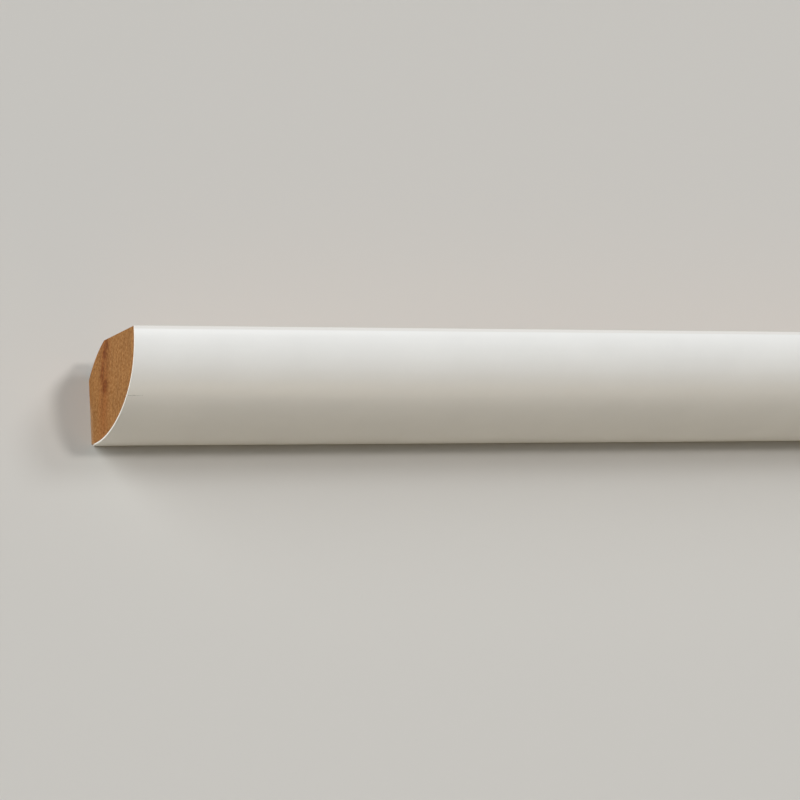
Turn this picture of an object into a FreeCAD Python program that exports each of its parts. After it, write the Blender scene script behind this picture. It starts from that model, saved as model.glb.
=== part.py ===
# Quarter-round moulding for the joint between a skirting board and a floor.
#
# It is one length of planed timber with a white plastic film glued over its curved face. The section
# stands as it does in use: an upright wall face at the back, a flat floor face below, and the curved
# face in front. The corner between wall and floor is backed off, so that the strip seats past a bead
# of filler or an uneven skirting board.
#
# Axes: +X runs along the length, +Y points to the wall and +Z up. The origin is the middle of the
# rectangle that the strip covers on the floor.

import FreeCAD, Part
import os
from FreeCAD import Vector

# Driving dimensions, in millimetres
length = 2388.0  # 94 in. stock length
height = 19.05  # up the wall, 3/4 in.
depth = 12.7  # out over the floor, 1/2 in.
top_land = 0.5  # level edge at the top of the curve
front_land = 1.2  # upright edge at the foot of the curve
nose_radius = 9.5  # upper, tighter arc of the curved face
film_thickness = 0.2  # plastic film over the curved face and both lands
relief_height = 7.0  # how far up the wall face the back corner is cut away
relief_depth = 4.2  # how far in along the floor face it is cut away
relief_bulge = 0.45  # how far the cut swells out past a straight chamfer

wall_y = depth / 2


def section_point(out, up):
    """A point of the left end's section: its distance out from the wall, and up from the floor."""
    return Vector(-length / 2, wall_y - out, up)


def arc_about(centre, radius, start, end):
    """The short arc about centre from the direction start to the direction end, both of unit length."""
    middle = (start + end).normalize()
    return Part.Arc(
        centre + start * radius, centre + middle * radius, centre + end * radius
    ).toShape()


def straight(a, b):
    return Part.LineSegment(a, b).toShape()


def face_line(inset):
    """The curved face's edges from the wall down to the floor, moved in by inset from the outside.

    Two arcs meet at a common tangent: the nose, which starts level at the top land, and a flatter
    sweep, which ends upright at the front land. The sweep's radius follows from that.
    """
    run = depth - top_land
    rise = height - front_land
    sweep_radius = (run**2 + rise**2 - 2 * rise * nose_radius) / (2 * (run - nose_radius))

    nose_centre = section_point(top_land, height - nose_radius)
    sweep_centre = section_point(depth - sweep_radius, front_land)
    upwards = Vector(0, 0, 1)
    outwards = Vector(0, -1, 0)
    tangent_point = (nose_centre - sweep_centre).normalize()

    wall_end = section_point(0, height - inset)
    curve_top = nose_centre + upwards * (nose_radius - inset)
    curve_foot = sweep_centre + outwards * (sweep_radius - inset)
    floor_end = section_point(depth - inset, 0)
    return [
        straight(wall_end, curve_top),
        arc_about(nose_centre, nose_radius - inset, upwards, tangent_point),
        arc_about(sweep_centre, sweep_radius - inset, tangent_point, outwards),
        straight(curve_foot, floor_end),
    ]


def run_out(edges):
    """The section that the edges enclose, drawn out to the full length."""
    outline = Part.Wire(Part.__sortEdges__(edges))
    return Part.Face(outline).extrude(Vector(length, 0, 0))


def timber_core():
    """The timber under the film, with the corner between its wall and floor faces backed off."""
    relief_top = section_point(0, relief_height)
    relief_foot = section_point(relief_depth, 0)
    chord = relief_foot - relief_top
    to_corner = Vector(0, -chord.z, chord.y).normalize()
    relief_middle = (relief_top + relief_foot) / 2 + to_corner * relief_bulge
    return run_out(
        face_line(film_thickness)
        + [
            straight(section_point(depth - film_thickness, 0), relief_foot),
            Part.Arc(relief_foot, relief_middle, relief_top).toShape(),
            straight(relief_top, section_point(0, height - film_thickness)),
        ]
    )


def face_film():
    """The white film: it follows the curved face at one thickness and is trimmed flush at both ends."""
    return run_out(
        face_line(0)
        + face_line(film_thickness)
        + [
            straight(section_point(0, height), section_point(0, height - film_thickness)),
            straight(section_point(depth, 0), section_point(depth - film_thickness, 0)),
        ]
    )


os.makedirs("parts", exist_ok=True)
pieces = {"wood_core": timber_core(), "white_film": face_film()}
for name, solid in pieces.items():
    box = solid.BoundBox
    print(name, solid.ShapeType, solid.isValid(), round(solid.Volume, 1), "mm3", box)
    solid.exportStep(f"parts/{name}.step")
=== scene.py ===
"""A length of quarter-round moulding: brown hardwood with a white plastic film over its curved face."""

import math

import bmesh
import bpy
from mathutils import Matrix, Vector


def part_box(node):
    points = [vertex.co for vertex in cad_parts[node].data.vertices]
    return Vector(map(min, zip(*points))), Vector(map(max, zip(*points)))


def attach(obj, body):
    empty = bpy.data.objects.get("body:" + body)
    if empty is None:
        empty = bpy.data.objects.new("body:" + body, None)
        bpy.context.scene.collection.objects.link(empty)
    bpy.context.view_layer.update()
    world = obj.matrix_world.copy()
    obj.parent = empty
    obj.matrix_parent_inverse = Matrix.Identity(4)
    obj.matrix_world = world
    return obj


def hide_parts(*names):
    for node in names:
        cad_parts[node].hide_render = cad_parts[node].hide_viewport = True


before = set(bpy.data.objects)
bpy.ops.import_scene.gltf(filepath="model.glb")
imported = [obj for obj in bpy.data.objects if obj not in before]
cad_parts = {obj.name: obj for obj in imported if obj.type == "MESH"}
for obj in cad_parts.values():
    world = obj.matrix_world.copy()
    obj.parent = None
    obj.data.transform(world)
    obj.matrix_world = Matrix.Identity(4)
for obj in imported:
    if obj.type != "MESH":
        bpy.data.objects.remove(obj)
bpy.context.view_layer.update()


# Timber core. One length of brown hardwood, planed on every long face, with the corner between its wall
# face and its floor face backed off so that the strip seats past filler. Both ends are sawn square and
# bare. Its faces lie where the frame has them, and its section is drawn round like a pen stroke.
mm = 0.001
core_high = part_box("wood_core")[1]
film_low, film_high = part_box("white_film")
left_x = film_low.x
right_x = film_high.x
front_y = film_low.y
wall_y = film_high.y
top_z = film_high.z
film_thickness = top_z - core_high.z

top_land = 0.5 * mm
front_land = 1.2 * mm
face_steps = 68
ease_from, ease_to = math.radians(40), math.radians(70)
relief_height = 7.0 * mm
relief_depth = 4.2 * mm
relief_bulge = 0.45 * mm
relief_steps = 16
planed_arris = 0.15 * mm
weld_distance = 0.001 * mm
same_line = 0.01 * mm
crisp_from = math.radians(12)

# The curved face goes from level at its top to upright at its foot in equal turns. Its radius grows
# gradually from the nose's to the sweep's, within 0.06 mm of the construction's two arcs, so that light
# fades evenly over it.
turns = [math.pi / 2 * step / face_steps for step in range(face_steps + 1)]
shares = [((a + b) / 2 - ease_from) / (ease_to - ease_from) for a, b in zip(turns, turns[1:])]
shares = [min(max(share, 0), 1) for share in shares]
advances = [
    Vector((math.sin(b) - math.sin(a), math.cos(a) - math.cos(b))) for a, b in zip(turns, turns[1:])
]
nose_part = sum(((1 - share) * advance for share, advance in zip(shares, advances)), Vector((0, 0)))
sweep_part = sum((share * advance for share, advance in zip(shares, advances)), Vector((0, 0)))
nose_radius, sweep_radius = Matrix((nose_part, sweep_part)).transposed().inverted() @ Vector(
    (wall_y - front_y - top_land, top_z - front_land)
)


def stroke(bm, vert, offset):
    """Draws a straight edge on from vert and returns its new end."""
    drawn = bmesh.ops.extrude_vert_indiv(bm, verts=[vert])["verts"]
    bmesh.ops.translate(bm, verts=drawn, vec=offset)
    return drawn[0]


def arc_stroke(bm, vert, centre, angle, steps):
    """Draws an arc on from vert, round centre in the plane of the section, and returns its new end."""
    drawn = bmesh.ops.spin(
        bm, geom=[vert], cent=centre, axis=(1, 0, 0), dvec=(0, 0, 0), angle=angle, steps=steps,
        use_merge=False, use_normal_flip=False, use_duplicate=False,
    )
    return drawn["geom_last"][0]


def curved_face(bm, inset):
    """Draws the face's line, inset from the film's outside, and returns its wall end and its foot."""
    wall_end = bm.verts.new((left_x, wall_y, top_z - inset))
    end = stroke(bm, wall_end, (0, -top_land, 0))
    for share, advance in zip(shares, advances):
        across, down = advance * (nose_radius + share * (sweep_radius - nose_radius) - inset)
        end = stroke(bm, end, (0, -across, -down))
    return wall_end, stroke(bm, end, (0, 0, -front_land))


def run_out(bm, drawn):
    """Moves the new end of what was extruded to the strip's right end."""
    verts = [part for part in drawn["geom"] if isinstance(part, bmesh.types.BMVert)]
    bmesh.ops.translate(bm, verts=verts, vec=(right_x - left_x, 0, 0))


def round_over(bm, edges, radius, segments=3):
    """Rounds the edges, as sandpaper or a knife's drag leaves them."""
    bmesh.ops.bevel(
        bm, geom=edges, offset=radius, segments=segments, profile=0.5, affect="EDGES", material=-1,
    )


def edges_along(bm, y, z):
    """The edges that run the length of the strip at one point of its section."""
    return [
        edge for edge in bm.edges
        if all(abs(vert.co.y - y) < same_line and abs(vert.co.z - z) < same_line for vert in edge.verts)
    ]


def finished_piece(bm, name, *materials):
    """Makes the bmesh an object, with its faces outwards, smooth round curves and crisp at arrises."""
    bmesh.ops.remove_doubles(bm, verts=bm.verts, dist=weld_distance)
    bmesh.ops.recalc_face_normals(bm, faces=bm.faces)
    mesh = bpy.data.meshes.new(name)
    bm.to_mesh(mesh)
    bm.free()
    mesh.shade_smooth()
    mesh.set_sharp_from_angle(angle=crisp_from)
    for material in materials:
        mesh.materials.append(material)
    piece = bpy.data.objects.new(name, mesh)
    bpy.context.scene.collection.objects.link(piece)
    return piece


def new_material(name):
    """A new material with its shader."""
    material = bpy.data.materials.new(name)
    material.use_nodes = True
    return material, material.node_tree.nodes["Principled BSDF"]


def add_node(tree, kind, inputs=(), **settings):
    """Adds a node with its properties. Each input gets a plain value or another node's output."""
    node = tree.nodes.new("ShaderNode" + kind)
    for name, value in settings.items():
        setattr(node, name, value)
    for name, value in dict(inputs).items():
        if isinstance(value, bpy.types.NodeSocket):
            tree.links.new(value, node.inputs[name])
        else:
            node.inputs[name].default_value = value
    return node


def colour(code):
    """An sRGB hex colour as linear RGBA."""
    channels = [int(code[i : i + 2], 16) / 255 for i in (1, 3, 5)]
    return [c / 12.92 if c <= 0.04045 else ((c + 0.055) / 1.055) ** 2.4 for c in channels] + [1]


# Fine-textured hardwood. A saw leaves its fibres cut across: a close speckle in faint rings, with small
# open pores. A planer leaves them lying along the strip: long lines and short dashes, paler and smoother.
# Both share one pattern in the timber's own mm: along, out from the wall and up from the floor. Real
# fibres and pores are finer than the picture can show, so the speckle is drawn 0.1 to 0.4 mm coarse.
# A size given as a fraction is a length over how many fit in it. A stretch slows a pattern along an axis.
noise_low, noise_high = 0.3, 0.7  # what the noise mostly keeps between
fibre_stretch = 0.04
speckle_size = 0.42
pore_spacing, pore_share = 0.9, 0.45
pore_core, pore_rim = 0.05, 0.16  # shares of the spacing
cloud_size, cloud_shade = 3.2, 0.05
ring_width, ring_shade = 0.65, 0.16
ring_stretch = (0.02, 0.12, 1)
timber_specular = 0.15

# Gum has reddened a broad band of the wood. It starts at the wall face, slopes down and fades towards the
# foot, and wanders along the strip. In it lie darker red-brown pockets: out, up, radius.
streak_height = 7.5
streak_slope = -0.22
streak_heart, streak_half_width = 0.2, 3.2
streak_wander = 0.5
wander_run, wander_width = 250 / 3, 10 / 3
streak_fades_from, streak_fades_by, streak_left = 8.5, 11.5, 0.7
pocket_heart = 0.2
pocket_bend, bend_size = 1.8, 10 / 11
pocket_stretch = 0.02
gum_pockets = [
    (0.7, 8.1, 1.2), (1.7, 7.0, 1.3), (3.4, 5.9, 1.2), (4.5, 5.5, 1.0), (5.9, 6.3, 1.4), (5.5, 7.0, 0.9),
]

# The lower front corner is painted paler along the floor: painted bounce light from the floor.
bounce_full, bounce_height, bounce_share = 0.2, 1.3, 0.45
bounce_from, bounce_by = 6.5, 8.8


def timber_material(name, pale, deep, roughness, relief):
    material, shader = new_material(name)
    tree = material.node_tree
    place = add_node(tree, "Mapping", {
        "Vector": add_node(tree, "TexCoord").outputs["Object"],
        "Location": (-left_x / mm, wall_y / mm, 0),
        "Scale": (1 / mm, -1 / mm, 1 / mm),
    }).outputs["Vector"]
    fibres = add_node(tree, "Mapping", {"Vector": place, "Scale": (fibre_stretch, 1, 1)}).outputs["Vector"]
    speckle = add_node(tree, "TexNoise", {
        "Vector": fibres, "Scale": 1 / speckle_size, "Detail": 3, "Roughness": 0.7,
    }).outputs["Fac"]
    cloud = add_node(tree, "TexNoise", {
        "Vector": fibres, "Scale": 1 / cloud_size, "Detail": 2, "Roughness": 0.5,
    }).outputs["Fac"]
    grain = add_node(tree, "MapRange", {
        "Value": speckle, "From Min": noise_low, "From Max": noise_high,
    }).outputs["Result"]
    fleck = add_node(tree, "Mix", {
        "Factor": grain, "A": colour(deep), "B": colour(pale),
    }, data_type="RGBA").outputs["Result"]
    to_pore = add_node(tree, "TexVoronoi", {"Vector": fibres, "Scale": 1 / pore_spacing}).outputs["Distance"]
    pore = add_node(tree, "MapRange", {
        "Value": to_pore, "From Min": pore_core, "From Max": pore_rim, "To Min": pore_share, "To Max": 0,
    }, interpolation_type="SMOOTHSTEP").outputs["Result"]
    pored = add_node(tree, "Mix", {
        "Factor": pore, "A": fleck, "B": colour("#5E3A1C"),
    }, data_type="RGBA").outputs["Result"]

    along_wander = add_node(tree, "Mapping", {
        "Vector": place, "Scale": (1 / wander_run, 1 / wander_width, 1 / wander_width),
    }).outputs["Vector"]
    drift = add_node(tree, "TexNoise", {"Vector": along_wander, "Scale": 1, "Detail": 2}).outputs["Fac"]
    axes = add_node(tree, "SeparateXYZ", {"Vector": place})
    out, up = axes.outputs["Y"], axes.outputs["Z"]
    level = add_node(tree, "Math", {
        0: out, 1: streak_slope, 2: streak_height - streak_wander,
    }, operation="MULTIPLY_ADD").outputs["Value"]
    middle = add_node(tree, "Math", {
        0: drift, 1: 2 * streak_wander, 2: level,
    }, operation="MULTIPLY_ADD").outputs["Value"]
    above = add_node(tree, "Math", {0: up, 1: middle}, operation="SUBTRACT").outputs["Value"]
    from_middle = add_node(tree, "Math", {0: above}, operation="ABSOLUTE").outputs["Value"]
    band = add_node(tree, "MapRange", {
        "Value": from_middle, "From Min": streak_heart, "From Max": streak_half_width,
        "To Min": 1, "To Max": 0,
    }, interpolation_type="SMOOTHSTEP").outputs["Result"]
    lasting = add_node(tree, "MapRange", {
        "Value": out, "From Min": streak_fades_from, "From Max": streak_fades_by,
        "To Min": 1, "To Max": streak_left,
    }, interpolation_type="SMOOTHSTEP").outputs["Result"]
    reddened = add_node(tree, "Mix", {
        "Factor": add_node(tree, "Math", {0: band, 1: lasting}, operation="MULTIPLY").outputs["Value"],
        "A": pored,
        "B": colour("#EFDBCE"),
    }, data_type="RGBA", blend_type="MULTIPLY").outputs["Result"]

    bending = add_node(tree, "TexNoise", {"Vector": fibres, "Scale": 1 / bend_size, "Detail": 3})
    along_pockets = add_node(tree, "Mapping", {
        "Vector": place, "Location": [-pocket_bend / 2] * 3, "Scale": (pocket_stretch, 1, 1),
    })
    bent = add_node(tree, "VectorMath", {
        0: bending.outputs["Color"], 1: [pocket_bend] * 3, 2: along_pockets.outputs["Vector"],
    }, operation="MULTIPLY_ADD").outputs["Vector"]
    gum = 0
    for pocket_out, pocket_up, radius in gum_pockets:
        to_pocket = add_node(tree, "VectorMath", {
            0: bent, 1: (0, pocket_out, pocket_up),
        }, operation="DISTANCE").outputs["Value"]
        here = add_node(tree, "MapRange", {
            "Value": to_pocket, "From Min": pocket_heart, "From Max": radius, "To Min": 1, "To Max": 0,
        }, interpolation_type="SMOOTHSTEP").outputs["Result"]
        gum = add_node(tree, "Math", {0: gum, 1: here}, operation="MAXIMUM").outputs["Value"]
    gummed = add_node(tree, "Mix", {
        "Factor": gum, "A": reddened, "B": colour("#D4BBA8"),
    }, data_type="RGBA", blend_type="MULTIPLY").outputs["Result"]
    along_band = add_node(tree, "CombineXYZ", {"X": axes.outputs["X"], "Y": out, "Z": above})
    along_rings = add_node(tree, "Mapping", {
        "Vector": along_band.outputs["Vector"], "Scale": ring_stretch,
    }).outputs["Vector"]
    rings = add_node(tree, "TexNoise", {
        "Vector": along_rings, "Scale": 1 / ring_width, "Detail": 3, "Roughness": 0.6,
    }).outputs["Fac"]
    ringed = add_node(tree, "MapRange", {
        "Value": rings, "From Min": noise_low, "From Max": noise_high,
        "To Min": 1 - ring_shade, "To Max": 1 + ring_shade,
    }).outputs["Result"]
    clouded = add_node(tree, "MapRange", {
        "Value": cloud, "From Min": noise_low, "From Max": noise_high,
        "To Min": 1 - cloud_shade, "To Max": 1 + cloud_shade,
    }).outputs["Result"]
    shade = add_node(tree, "Math", {0: ringed, 1: clouded}, operation="MULTIPLY").outputs["Value"]
    shaded = add_node(tree, "VectorMath", {0: gummed, "Scale": shade}, operation="SCALE").outputs["Vector"]

    # Painted bounce light: the wood turns paler low down and towards the front, as if the floor lit it.
    low = add_node(tree, "MapRange", {
        "Value": up, "From Min": bounce_full, "From Max": bounce_height,
        "To Min": bounce_share, "To Max": 0,
    }, interpolation_type="SMOOTHSTEP").outputs["Result"]
    forward = add_node(tree, "MapRange", {
        "Value": out, "From Min": bounce_from, "From Max": bounce_by,
    }, interpolation_type="SMOOTHSTEP").outputs["Result"]
    floor_bounce_paint = add_node(tree, "Mix", {
        "Factor": add_node(tree, "Math", {0: low, 1: forward}, operation="MULTIPLY").outputs["Value"],
        "A": shaded,
        "B": colour("#B39576"),
    }, data_type="RGBA").outputs["Result"]

    tree.links.new(floor_bounce_paint, shader.inputs["Base Color"])
    shader.inputs["Roughness"].default_value = roughness
    shader.inputs["Specular IOR Level"].default_value = timber_specular
    bump = add_node(tree, "Bump", {"Height": speckle, "Distance": relief})
    tree.links.new(bump.outputs["Normal"], shader.inputs["Normal"])
    return material


core_mesh = bmesh.new()
core_top, core_foot = curved_face(core_mesh, film_thickness)
heel = stroke(core_mesh, core_foot, (0, wall_y - relief_depth - core_foot.co.y, 0))
chord = Vector((0, relief_depth, relief_height))
relief_radius = (chord.length**2 / 4 + relief_bulge**2) / (2 * relief_bulge)
into_timber = Vector((0, -chord.z, chord.y)).normalized()
relief_centre = heel.co + chord / 2 + into_timber * (relief_radius - relief_bulge)
relief_angle = 2 * math.asin(chord.length / 2 / relief_radius)
relief_top = arc_stroke(core_mesh, heel, relief_centre, relief_angle, relief_steps)
bmesh.ops.contextual_create(core_mesh, geom=[relief_top, core_top])
sawn_end = bmesh.ops.contextual_create(core_mesh, geom=core_mesh.edges[:])["faces"]
run_out(core_mesh, bmesh.ops.extrude_face_region(core_mesh, geom=sawn_end, use_keep_orig=True))
for corner in (heel.co.copy(), relief_top.co.copy()):
    round_over(core_mesh, edges_along(core_mesh, corner.y, corner.z), planed_arris)
core_mesh.normal_update()
for face in core_mesh.faces:
    face.material_index = 1 if abs(face.normal.x) > 0.5 else 0
sawn_timber = timber_material("sawn_hardwood", "#B5844F", "#804D1E", 0.75, 0.03 * mm)
wood_core = finished_piece(
    core_mesh, "timber_core", timber_material("planed_hardwood", "#B08A60", "#946A42", 0.5, 0.01 * mm),
    sawn_timber,
)
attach(wood_core, "root")
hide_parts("wood_core")


# White film. A satin plastic film glued over the curved face and down both lands, trimmed flush with
# the timber at the wall, at the floor and at the sawn ends, where its thickness shows as a white line.
# Its lower edge is rounded, and chipped back a little at the left end. Above, a hairline crack runs in
# from that end, where the cut has split the film down to the timber.
trimmed_arris = 0.03 * mm
foot_arris = 0.17 * mm
foot_chip, foot_chip_height = 0.22 * mm, 1.3 * mm
crack_height = 15.11 * mm
crack_start, crack_length = 0.1 * mm, 2.0 * mm
crack_tip = 0.001  # share of the length at either end that stays shut
crack_steps = 16
crack_half_width = 0.019 * mm
crack_depth = 0.05 * mm
crack_wander, crack_turning = 0.006 * mm, 9
crack_gape, crack_narrowing, crack_bluntness = 0.85, 0.45, 0.4
bulge_gape, bulge_at, bulge_spread = 0.9, 0.43, 0.06

# Satin plastic film over timber. It is an even white with a soft sheen, a very fine peel, and faint lines
# along the strip where the planed timber shows through. Its level top land is rougher, and painted a bit grey
# as shade.
# The pattern's sizes are in mm, and the reliefs are what the bumps stand out by.
film_ior = 1.49
line_spacing, line_stretch, line_relief = 1.25, 0.02, 0.012 * mm
mottle_size = 25 / 3
peel_size, peel_relief = 0.625, 0.002 * mm
shaded_land_to, shaded_land_from = 0.34, 0.42
satin_low, satin_high, land_dulling = 0.36, 0.43, 0.3


def film_material(name):
    material, shader = new_material(name)
    tree = material.node_tree
    shader.inputs["IOR"].default_value = film_ior
    place = add_node(tree, "Mapping", {
        "Vector": add_node(tree, "TexCoord").outputs["Object"],
        "Location": (-left_x / mm, wall_y / mm, 0),
        "Scale": (1 / mm, -1 / mm, 1 / mm),
    }).outputs["Vector"]
    stretched = add_node(tree, "Mapping", {"Vector": place, "Scale": (line_stretch, 1, 1)}).outputs["Vector"]
    lengthwise = add_node(tree, "TexNoise", {
        "Vector": stretched, "Scale": 1 / line_spacing, "Detail": 3,
    }).outputs["Fac"]
    mottle = add_node(tree, "TexNoise", {
        "Vector": place, "Scale": 1 / mottle_size, "Detail": 3,
    }).outputs["Fac"]
    peel = add_node(tree, "TexNoise", {"Vector": place, "Scale": 1 / peel_size, "Detail": 1}).outputs["Fac"]
    tone = add_node(tree, "MapRange", {
        "Value": mottle, "From Min": noise_low, "From Max": noise_high,
    }).outputs["Result"]
    white = add_node(tree, "Mix", {
        "Factor": tone, "A": colour("#F2F2EF"), "B": colour("#F6F6F3"),
    }, data_type="RGBA").outputs["Result"]
    # Painted shade: the top land gets a greyer white, as well as a rougher finish.
    dull_shaded_land = add_node(tree, "MapRange", {
        "Value": add_node(tree, "SeparateXYZ", {"Vector": place}).outputs["Y"],
        "From Min": shaded_land_to, "From Max": shaded_land_from, "To Min": 1, "To Max": 0,
    }).outputs["Result"]
    grey_land_shade = add_node(tree, "Mix", {
        "Factor": dull_shaded_land, "A": white, "B": colour("#ECEAE5"),
    }, data_type="RGBA").outputs["Result"]
    tree.links.new(grey_land_shade, shader.inputs["Base Color"])
    sheen = add_node(tree, "MapRange", {
        "Value": mottle, "From Min": noise_low, "From Max": noise_high,
        "To Min": satin_low, "To Max": satin_high,
    }).outputs["Result"]
    dulled = add_node(tree, "Math", {
        0: dull_shaded_land, 1: land_dulling, 2: sheen,
    }, operation="MULTIPLY_ADD").outputs["Value"]
    tree.links.new(dulled, shader.inputs["Roughness"])
    lines = add_node(tree, "Bump", {"Height": lengthwise, "Distance": line_relief})
    skin = add_node(tree, "Bump", {
        "Height": peel, "Distance": peel_relief, "Normal": lines.outputs["Normal"],
    })
    tree.links.new(skin.outputs["Normal"], shader.inputs["Normal"])
    return material


# The same plastic where a blade has cut it: rough, with no sheen, uneven and a touch warmer.
fuzz_size = 0.3 * mm


def cut_film_material(name):
    material, shader = new_material(name)
    tree = material.node_tree
    shader.inputs["Roughness"].default_value = 0.7
    shader.inputs["IOR"].default_value = film_ior
    fuzz = add_node(tree, "TexNoise", {
        "Vector": add_node(tree, "TexCoord").outputs["Object"], "Scale": 1 / fuzz_size, "Detail": 2,
    }).outputs["Fac"]
    white = add_node(tree, "Mix", {
        "Factor": fuzz, "A": colour("#EDE8E0"), "B": colour("#FBF8F2"),
    }, data_type="RGBA").outputs["Result"]
    tree.links.new(white, shader.inputs["Base Color"])
    return material


# Grey dust packed into the hairline crack. Its darkness is also painted shade, standing in for the crack's
# shadow.
grit_size = 0.05 * mm


def crack_dust_and_shade_material(name):
    material, shader = new_material(name)
    tree = material.node_tree
    shader.inputs["Roughness"].default_value = 0.95
    grit = add_node(tree, "TexNoise", {
        "Vector": add_node(tree, "TexCoord").outputs["Object"], "Scale": 1 / grit_size, "Detail": 2,
    }).outputs["Fac"]
    grey = add_node(tree, "Mix", {
        "Factor": grit, "A": colour("#2E2A24"), "B": colour("#58534A"),
    }, data_type="RGBA").outputs["Result"]
    tree.links.new(grey, shader.inputs["Base Color"])
    return material


def in_view(face):
    """Whether a face of the film is part of its outside, which looks up or out and nowhere else."""
    return face.normal.z - face.normal.y > 0.5


def on_long_side(face):
    """Whether a face of the film is part of its outside and not of a cut end."""
    return in_view(face) and abs(face.normal.x) < 0.3


def slit(bm, faces, point, normal):
    """Cuts the faces along a plane and returns what they became."""
    parts = {part for face in faces for part in (face, *face.edges, *face.verts)}
    divided = bmesh.ops.bisect_plane(
        bm, geom=list(parts), dist=weld_distance, plane_co=point, plane_no=normal,
    )
    return [part for part in divided["geom"] if isinstance(part, bmesh.types.BMFace)]


def crack_opening(travel):
    """How wide the crack gapes at a share of its length: nothing at its ends, and most before halfway."""
    bulge = bulge_gape * math.exp(-(((travel - bulge_at) / bulge_spread) ** 2))
    gape = crack_gape - crack_narrowing * travel + bulge
    return math.sin(math.pi * travel) ** crack_bluntness * gape


film_mesh = bmesh.new()
curved_face(film_mesh, 0)
run_out(film_mesh, bmesh.ops.extrude_edge_only(film_mesh, edges=film_mesh.edges[:]))
bmesh.ops.recalc_face_normals(film_mesh, faces=film_mesh.faces)
bmesh.ops.solidify(film_mesh, geom=film_mesh.faces[:], thickness=film_thickness)
film_mesh.normal_update()
foot_edges = edges_along(film_mesh, front_y, 0)
round_over(film_mesh, foot_edges, foot_arris, segments=5)
film_mesh.normal_update()
round_over(
    film_mesh, [
        edge for edge in film_mesh.edges
        if sum(map(in_view, edge.link_faces)) == 1 and max(vert.co.z for vert in edge.verts) > 2 * foot_arris
    ], trimmed_arris
)
film_mesh.normal_update()

for vert in film_mesh.verts:
    chipped = 1 - vert.co.z / foot_chip_height
    if vert.co.x < left_x + foot_chip and chipped > 0:
        vert.co.x += foot_chip * chipped
film_mesh.normal_update()

cracked = [
    face for face in film_mesh.faces
    if on_long_side(face)
    and min(vert.co.z for vert in face.verts) <= crack_height < max(vert.co.z for vert in face.verts)
]
face_out = cracked[0].normal.copy()
face_down = Vector((0, -face_out.z, face_out.y))
crack_point = cracked[0].calc_center_median()
crack_point += face_down * (crack_height - crack_point.z) / face_down.z
crack_point.x = left_x + crack_start
for step in range(crack_steps + 1):
    station = crack_point + Vector((crack_length * step / crack_steps, 0, 0))
    cracked = slit(film_mesh, cracked, station, (1, 0, 0))
for side in (-1, 0, 1):
    cracked = slit(film_mesh, cracked, crack_point + side * crack_half_width * face_down, face_down)
cracked = [
    face for face in cracked
    if 0 < face.calc_center_median().x - crack_point.x < crack_length
    and abs((face.calc_center_median() - crack_point).dot(face_down)) < crack_half_width
]
for vert in {vert for face in cracked for vert in face.verts}:
    travel = (vert.co.x - crack_point.x) / crack_length
    side = round((vert.co - crack_point).dot(face_down) / crack_half_width, 2)
    if crack_tip < travel < 1 - crack_tip:
        opening = crack_opening(travel)
        aside = crack_wander * math.sin(crack_turning * travel) + side * crack_half_width * (opening - 1)
        vert.co += face_down * aside
        vert.co -= face_out * crack_depth * opening * (1 - abs(side))
film_mesh.normal_update()
for face in film_mesh.faces:
    face.material_index = 0 if on_long_side(face) else 1
# The crack's faces get the dark grey: dust, and painted shade.
for face in cracked:
    face.material_index = 2
film = finished_piece(
    film_mesh, "white_film_satin", film_material("satin_plastic_film"), cut_film_material("cut_plastic_film"),
    crack_dust_and_shade_material("crack_dust_and_shade"),
)
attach(film, "root")
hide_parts("white_film")


# Floor. A plain pale sheet, matt, a hair below the strip so that the two faces don't coincide.
floor_half = 60.0
floor_gap = 0.01 * mm
floor_mesh = bmesh.new()
bmesh.ops.create_grid(floor_mesh, x_segments=1, y_segments=1, size=floor_half)
bmesh.ops.translate(floor_mesh, verts=floor_mesh.verts, vec=(0, 0, -floor_gap))
floor_material, floor_shader = new_material("pale_matt_floor")
floor_shader.inputs["Base Color"].default_value = colour("#D0CDC7")
floor_shader.inputs["Roughness"].default_value = 0.9
floor = finished_piece(floor_mesh, "floor", floor_material)


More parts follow.
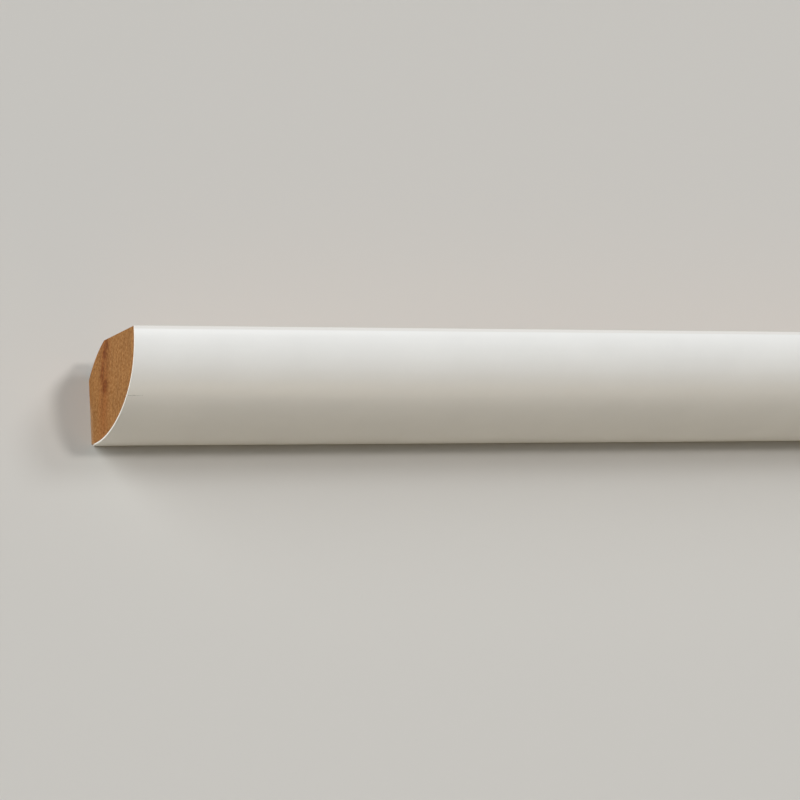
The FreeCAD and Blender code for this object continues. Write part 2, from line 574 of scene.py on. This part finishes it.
# Light, as a lit room gives. All lamps are far off and soft: two high behind the strip, a wide and a low
# one off its left end, and two like them in front. A dim surround fills the rest and shows as a pale wall.
def far_lamp(name, code, strength, spread, azimuth, elevation):
    """A distant lamp, seen from the strip towards an azimuth from +X and an elevation, all in degrees.

    At a strength of 1, white that it lights squarely shows white.
    """
    lamp_data = bpy.data.lights.new(name, "SUN")
    lamp_data.color = colour(code)[:3]
    lamp_data.energy = strength * math.pi
    lamp_data.angle = math.radians(spread)
    lamp = bpy.data.objects.new(name, lamp_data)
    level = math.cos(math.radians(elevation))
    towards = Vector((
        level * math.cos(math.radians(azimuth)),
        level * math.sin(math.radians(azimuth)),
        math.sin(math.radians(elevation)),
    ))
    lamp.rotation_mode = "QUATERNION"
    lamp.rotation_quaternion = towards.to_track_quat("Z", "Y")
    bpy.context.scene.collection.objects.link(lamp)


far_lamp("high_back_lamp", "#FFFAF8", 0.264, 7, 48, 69)
far_lamp("mid_back_lamp", "#F8FAFF", 0.190, 13, 50, 54)
far_lamp("wide_left_lamp", "#F7FCFF", 0.690, 45, 150, 40)
far_lamp("low_left_lamp", "#FFFDF8", 0.211, 20, 180, 8)
far_lamp("wide_front_lamp", "#FFDFA4", 0.066, 45, 300, 16)
far_lamp("low_front_lamp", "#FFEAC2", 0.101, 12, 290, 3)

world = bpy.data.worlds.new("pale_surround")
world.use_nodes = True
world_tree = world.node_tree
rays = add_node(world_tree, "LightPath")
seen = add_node(world_tree, "Math", {
    0: rays.outputs["Is Camera Ray"], 1: rays.outputs["Is Glossy Ray"],
}, operation="MAXIMUM")
seen = add_node(world_tree, "Math", {
    0: seen.outputs["Value"], 1: rays.outputs["Is Transmission Ray"],
}, operation="MAXIMUM")
surround = add_node(world_tree, "Mix", {
    "Factor": seen.outputs["Value"], "A": colour("#262625"), "B": colour("#DAD8D4"),
}, data_type="RGBA")
world_tree.links.new(surround.outputs["Result"], world_tree.nodes["Background"].inputs["Color"])
bpy.context.scene.world = world


# Camera, held over the left end at the photograph's angle with the strip level in the picture.
camera_place = Vector((-1312.45, -50.53, 367.26)) * mm
camera_aim = Vector((-1154.46, -1.67, 9.5)) * mm
camera_roll = math.radians(-3.17)
backwards = (camera_place - camera_aim).normalized()
sideways = Vector((0, 1, 0)).cross(backwards).normalized()
upwards = backwards.cross(sideways)
unrolled = Matrix((sideways, upwards, backwards)).transposed()
camera_data = bpy.data.cameras.new("camera")
camera_data.lens = 134.9
camera_data.sensor_width = 36
camera_data.clip_start = 0.01
camera = bpy.data.objects.new("camera", camera_data)
camera.rotation_mode = "QUATERNION"
camera.rotation_quaternion = (unrolled @ Matrix.Rotation(camera_roll, 3, "Z")).to_quaternion()
camera.location = camera_place
bpy.context.scene.collection.objects.link(camera)
bpy.context.scene.camera = camera
bpy.context.scene.view_settings.view_transform = "Standard"
